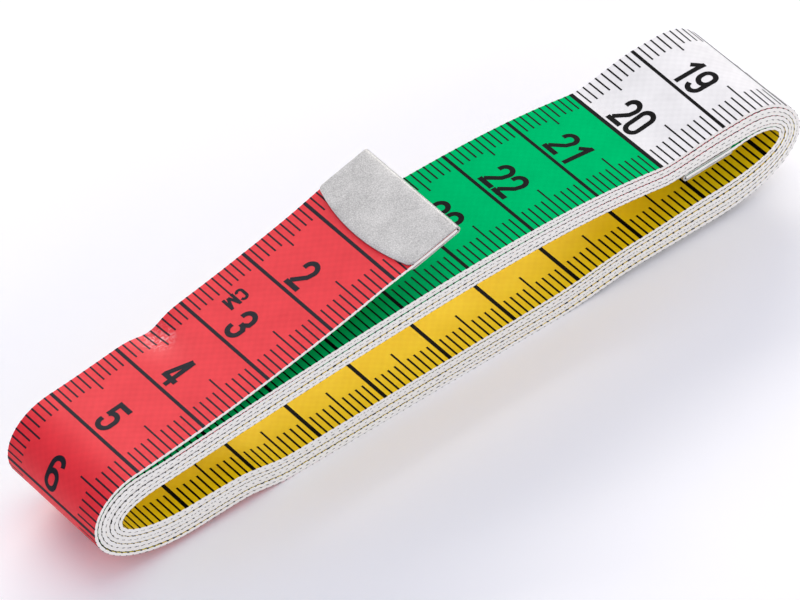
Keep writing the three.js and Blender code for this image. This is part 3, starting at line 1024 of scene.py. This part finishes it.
def fold_tip(tape, scene, name, at_outer_end):
    """A sheet folded over the tape's end, with a bowed front edge and rounded front corners."""
    tip = sizes_of(scene.tape_tips)
    plate = (tip.height - tip.sheet) / 2
    fold = plate - (tip.reach - tip.sheet / 2)
    spread = np.sin(np.linspace(-math.pi / 2, math.pi / 2, TIP_COLUMNS))
    across = spread * tip.half_width
    bow = tip.side_length + (tip.middle_length - tip.side_length) * (1 - spread**2)
    past = np.maximum(0, np.abs(across) - (tip.half_width - tip.corner))
    front = bow - (tip.corner - np.sqrt(np.maximum(0, tip.corner**2 - past**2)))
    # The rows run along one plate to the fold, half a turn round it and out along the other plate.
    sweep = np.linspace(-90, 450, TIP_ROWS)
    turn = np.clip(sweep, 90, 270)
    share = np.abs(sweep - turn) / 180
    along = fold + np.outer(share, front - fold) + plate * np.cos(np.radians(turn))[:, None]
    off = plate * np.sin(np.radians(turn))[:, None]
    if at_outer_end:
        end, aim, way = 0.0, TIP_AIM, 1
        off = off + tape.twist(end, across)
    else:
        end, aim, way = tape.length, tape.length - TIP_AIM, -1
    angle = np.interp(aim, tape.along, tape.angle)
    inward = np.array((math.cos(angle), 0.0, math.sin(angle))) * way
    outward = np.array((math.sin(angle), 0.0, -math.cos(angle)))
    points = tape.place(end, 0.0, 0.0) + (along[..., None] * inward + off[..., None] * outward) * MM
    points[..., 1] += across * MM
    faces = [quad[::way] for quad in grid_faces(*along.shape)]
    material = ready_material("satin_nickel_plate", satin_nickel, scene.tape_colours.nickel)
    piece = make_piece(name, points.reshape(-1, 3), faces, [material], crisp=60.0)
    wall = piece.modifiers.new("sheet metal", "SOLIDIFY")
    wall.thickness = tip.sheet * MM
    wall.offset = 0.0
    rounding = piece.modifiers.new("broken edges", "BEVEL")
    rounding.width = TIP_EDGE_ROUNDING * MM
    rounding.segments = 3
    rounding.limit_method = "ANGLE"
    rounding.angle_limit = math.radians(45)
    return piece


class TAPE_OT_tips(bpy.types.Operator):
    """Folds the two nickel-plated tips over the tape's ends"""

    bl_idname = "tape.tips"
    bl_label = "Metal tips"

    def execute(self, context):
        tape = WoundTape(context.scene)
        for name, body, at_outer_end in (("outer_tip", "lead_end", True), ("inner_tip", "inner_end", False)):
            piece = fold_tip(tape, context.scene, name + "_folded", at_outer_end)
            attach(piece, body)
            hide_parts(name)
        return {"FINISHED"}


# Table: half its side and its drop under the tape, and the upward part of a direction that sees the full sky
TABLE_REACH = 6000.0
TABLE_DROP = 0.03
SKY_RISE = 0.55


class TAPE_OT_stage(bpy.types.Operator):
    """Sets up the camera, the white table, the three lamps and the even sky"""

    bl_idname = "tape.stage"
    bl_label = "Stage"

    def execute(self, context):
        scene = context.scene
        stage, colours = scene.tape_stage, scene.tape_colours
        scene.view_settings.view_transform = "Standard"
        turn, rise = stage.azimuth, stage.elevation
        back = Vector((math.sin(turn) * math.cos(rise), -math.cos(turn) * math.cos(rise), math.sin(rise)))
        level = Vector((math.cos(turn), math.sin(turn), 0.0))
        right = math.cos(stage.roll) * level + math.sin(stage.roll) * back.cross(level)
        lens = bpy.data.cameras.new("camera")
        lens.lens = stage.lens
        lens.clip_start = 0.05
        lens.clip_end = 20.0
        camera = bpy.data.objects.new("camera", lens)
        turned = Matrix((right, back.cross(right), back)).transposed().to_4x4()
        camera.matrix_world = Matrix.Translation(Vector(stage.target) + back * stage.distance) @ turned
        scene.collection.objects.link(camera)
        scene.camera = camera

        ring = ((-1, -1), (1, -1), (1, 1), (-1, 1))
        corners = [(x * TABLE_REACH * MM, y * TABLE_REACH * MM, -TABLE_DROP * MM) for x, y in ring]
        paper = pale_floor("matt_white_paper", colours.floor)
        make_piece("table", corners, [(0, 1, 2, 3)], [paper])

        for name in ("key", "back", "front"):
            lamp = bpy.data.lights.new(name + "_light", "AREA")
            lamp.shape = "RECTANGLE"
            lamp.size, lamp.size_y = getattr(stage, name + "_size")
            lamp.energy = getattr(stage, name + "_power")
            lamp.color = colours.lamps[:3]
            hung = bpy.data.objects.new(name + "_light", lamp)
            hung.location = getattr(stage, name + "_place")
            hung.rotation_euler = (-hung.location).to_track_quat("-Z", "Y").to_euler()
            scene.collection.objects.link(hung)

        world = bpy.data.worlds.new("even_sky")
        world.use_nodes = True
        tree = world.node_tree
        tree.nodes.clear()
        way = node(tree, "TexCoord").outputs["Generated"]
        height = node(tree, "SeparateXYZ", sockets={0: way}).outputs["Z"]
        levels = {0: height, 1: 0.0, 2: SKY_RISE, 3: stage.horizon, 4: stage.sky}
        strength = node(tree, "MapRange", {"interpolation_type": "SMOOTHSTEP"}, levels)
        light = node(tree, "Background", sockets={"Color": colours.sky, "Strength": strength})
        node(tree, "OutputWorld", sockets={"Surface": light})
        scene.world = world
        return {"FINISHED"}


STEPS = (TAPE_OT_stage, TAPE_OT_winding, TAPE_OT_outer_lead, TAPE_OT_inner_lead, TAPE_OT_tips)


class TAPE_PT_panel(bpy.types.Panel):
    """Lists the steps that dress the tape measure"""

    bl_label = "Tape measure"
    bl_idname = "TAPE_PT_panel"
    bl_space_type = "VIEW_3D"
    bl_region_type = "UI"
    bl_category = "Tape measure"

    def draw(self, context):
        for step in STEPS:
            self.layout.operator(step.bl_idname)


GROUPS = {
    "tape_cloth": TapeClothSettings,
    "tape_loop": TapeLoopSettings,
    "tape_lead": TapeLeadSettings,
    "tape_print": TapePrintSettings,
    "tape_tips": TapeTipSettings,
    "tape_colours": TapeColourSettings,
    "tape_stage": TapeStageSettings,
}


def register():
    for group in GROUPS.values():
        bpy.utils.register_class(group)
    for name, group in GROUPS.items():
        setattr(bpy.types.Scene, name, PointerProperty(type=group))
    for step in STEPS:
        bpy.utils.register_class(step)
    bpy.utils.register_class(TAPE_PT_panel)


def unregister():
    bpy.utils.unregister_class(TAPE_PT_panel)
    for step in reversed(STEPS):
        bpy.utils.unregister_class(step)
    for name in GROUPS:
        delattr(bpy.types.Scene, name)
    for group in reversed(GROUPS.values()):
        bpy.utils.unregister_class(group)


def main():
    register()
    bpy.ops.tape.stage()
    bpy.ops.tape.winding()
    bpy.ops.tape.outer_lead()
    bpy.ops.tape.inner_lead()
    bpy.ops.tape.tips()


if __name__ == "__main__":
    main()
